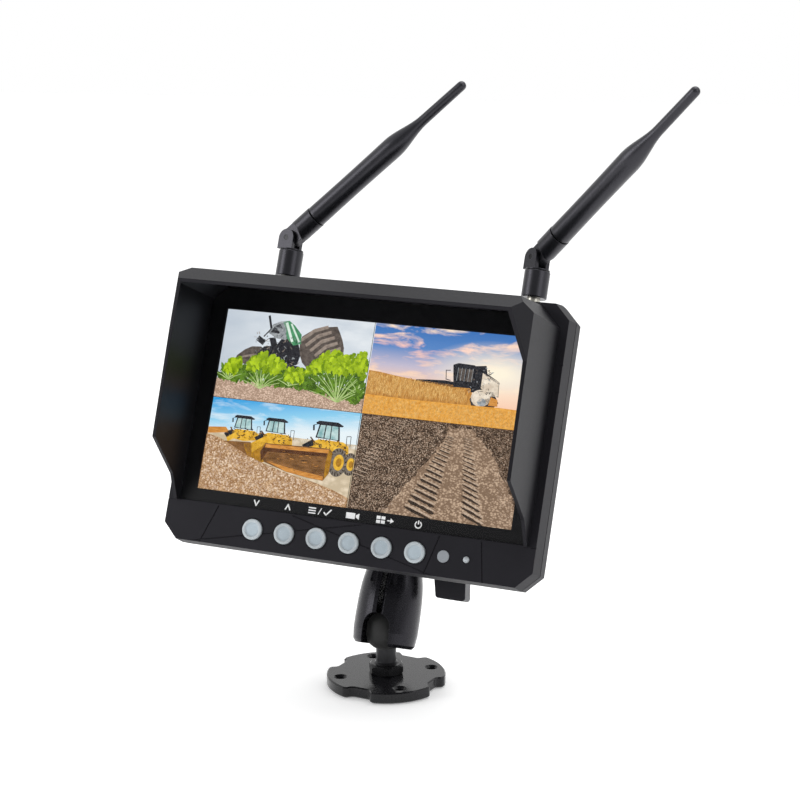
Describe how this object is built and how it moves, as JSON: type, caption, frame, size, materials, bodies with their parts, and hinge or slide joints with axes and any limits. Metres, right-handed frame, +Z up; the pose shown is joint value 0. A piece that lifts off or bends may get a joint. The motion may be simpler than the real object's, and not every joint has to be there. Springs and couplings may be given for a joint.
{
  "type": "monitor with ball mount",
  "caption": "Wireless reversing monitor with a sun hood, folding antennas, push buttons and a double-ball clamping mount on a round plate.",
  "frame": {"origin": "centre of the round base plate's underside", "axes": "+Z up out of the base plate along its stud, screen faces -Y, +X to the viewer's right"},
  "size_m": [0.2351, 0.1207, 0.2888],
  "materials": {
    "mount_metal": "satin",
    "stud_steel": "satin",
    "black_steel": "gloss",
    "ball_rubber": "matte",
    "arm_plastic": "gloss",
    "screw_steel": "satin",
    "knob_plastic": "satin",
    "brass_insert": "satin",
    "case_plastic": "matte",
    "hood_plastic": "matte",
    "clear_lens": "gloss",
    "seal_rubber": "matte",
    "display_glass": "gloss",
    "tray_steel": "satin",
    "board_green": "satin",
    "chip_black": "matte",
    "shield_tin": "satin",
    "window_dark": "gloss",
    "lamp_clear": "gloss",
    "speaker_metal": "matte",
    "inlet_metal": "satin",
    "gold_jack": "gloss",
    "antenna_plastic": "satin",
    "key_plastic": "satin"
  },
  "bodies": {
    "base": {"base_plate": "mount_metal"},
    "lower_stud": {"lower_ball_stud": "stud_steel", "lower_lock_nut": "black_steel"},
    "lower_cover": {"lower_ball_cover": "ball_rubber"},
    "arm": {"arm_left_half": "arm_plastic", "arm_right_half": "arm_plastic", "clamp_bolt": "screw_steel", "clamp_spring": "screw_steel", "knob_washer": "screw_steel"},
    "knob": {"clamp_knob": "knob_plastic", "knob_insert": "brass_insert"},
    "upper_cover": {"upper_ball_cover": "ball_rubber"},
    "upper_stud": {"upper_ball_stud": "stud_steel", "upper_lock_nut": "black_steel"},
    "monitor": {"monitor_plate": "mount_metal", "plate_screws": "screw_steel", "front_bezel": "case_plastic", "rear_housing": "case_plastic", "sun_hood": "hood_plastic", "screen_lens": "clear_lens", "lens_gasket": "seal_rubber", "lcd_panel": "display_glass", "backlight_tray": "tray_steel", "main_board": "board_green", "board_chips": "chip_black", "radio_shield": "shield_tin", "board_screws": "screw_steel", "button_board": "board_green", "key_switches": "chip_black", "sensor_window": "window_dark", "indicator_lens": "lamp_clear", "speaker": "speaker_metal", "power_inlet": "inlet_metal", "housing_screws": "screw_steel", "antenna_jacks": "gold_jack", "jack_nuts": "gold_jack", "antenna_collars": "antenna_plastic"},
    "button_1": {"button_1": "key_plastic"},
    "button_2": {"button_2": "key_plastic"},
    "button_3": {"button_3": "key_plastic"},
    "button_4": {"button_4": "key_plastic"},
    "button_5": {"button_5": "key_plastic"},
    "button_6": {"button_6": "key_plastic"},
    "left_swivel": {"left_knuckle": "antenna_plastic", "left_hinge_pin": "screw_steel"},
    "left_antenna": {"left_sleeve": "antenna_plastic", "left_whip": "antenna_plastic"},
    "right_swivel": {"right_knuckle": "antenna_plastic", "right_hinge_pin": "screw_steel"},
    "right_antenna": {"right_sleeve": "antenna_plastic", "right_whip": "antenna_plastic"}
  },
  "joints": [
    {"name": "lower_pan", "type": "hinge", "parent": "base", "child": "lower_stud", "pos_m": [0, 0, 0.0278], "axis": [0, 0, 1], "range_deg": [-170, 170]},
    {"name": "lower_lean", "type": "hinge", "parent": "lower_stud", "child": "lower_cover", "pos_m": [0, 0, 0.0278], "axis": [0, 1, 0], "range_deg": [-6, 3]},
    {"name": "lower_tilt", "type": "hinge", "parent": "lower_cover", "child": "arm", "pos_m": [0, 0, 0.0278], "axis": [0.9996, -0.0101, -0.0266], "range_deg": [-35, 40]},
    {"name": "knob_turn", "type": "hinge", "parent": "arm", "child": "knob", "pos_m": [0.01568, 0.01328, 0.06294], "axis": [0.9996, -0.0101, -0.0266], "continuous": true},
    {"name": "upper_tilt", "type": "hinge", "parent": "arm", "child": "upper_cover", "pos_m": [0.00216, 0.02685, 0.09886], "axis": [0.9996, -0.0101, -0.0266], "range_deg": [-60, 5]},
    {"name": "upper_pan", "type": "hinge", "parent": "upper_cover", "child": "upper_stud", "pos_m": [0.00216, 0.02685, 0.09886], "axis": [0.0284, 0.3533, 0.9351], "range_deg": [-5, 5]},
    {"name": "upper_roll", "type": "hinge", "parent": "upper_stud", "child": "monitor", "pos_m": [0.00216, 0.02685, 0.09886], "axis": [0, 0.9354, -0.3535], "range_deg": [-25, 25]},
    {"name": "button_1_press", "type": "slide", "parent": "monitor", "child": "button_1", "axis": [0, 0.9354, -0.3535], "range_m": [0, 0.0008], "stiffness_N_per_m": 300},
    {"name": "button_2_press", "type": "slide", "parent": "monitor", "child": "button_2", "axis": [0, 0.9354, -0.3535], "range_m": [0, 0.0008], "stiffness_N_per_m": 300},
    {"name": "button_3_press", "type": "slide", "parent": "monitor", "child": "button_3", "axis": [0, 0.9354, -0.3535], "range_m": [0, 0.0008], "stiffness_N_per_m": 300},
    {"name": "button_4_press", "type": "slide", "parent": "monitor", "child": "button_4", "axis": [0, 0.9354, -0.3535], "range_m": [0, 0.0008], "stiffness_N_per_m": 300},
    {"name": "button_5_press", "type": "slide", "parent": "monitor", "child": "button_5", "axis": [0, 0.9354, -0.3535], "range_m": [0, 0.0008], "stiffness_N_per_m": 300},
    {"name": "button_6_press", "type": "slide", "parent": "monitor", "child": "button_6", "axis": [0, 0.9354, -0.3535], "range_m": [0, 0.0008], "stiffness_N_per_m": 300},
    {"name": "left_swivel_turn", "type": "hinge", "parent": "monitor", "child": "left_swivel", "pos_m": [-0.05749, 0.02396, 0.21171], "axis": [0.0284, 0.3533, 0.9351], "range_deg": [-170, 170]},
    {"name": "left_fold", "type": "hinge", "parent": "left_swivel", "child": "left_antenna", "pos_m": [-0.05905, 0.02428, 0.21164], "axis": [0.2078, 0.9129, -0.3513], "range_deg": [-48, 39]},
    {"name": "right_swivel_turn", "type": "hinge", "parent": "monitor", "child": "right_swivel", "pos_m": [0.06766, 0.0227, 0.20838], "axis": [0.0284, 0.3533, 0.9351], "range_deg": [-110, 170]},
    {"name": "right_fold", "type": "hinge", "parent": "right_swivel", "child": "right_antenna", "pos_m": [0.06635, 0.02357, 0.20809], "axis": [0.5733, 0.7605, -0.3048], "range_deg": [-54, 33]}
  ]
}
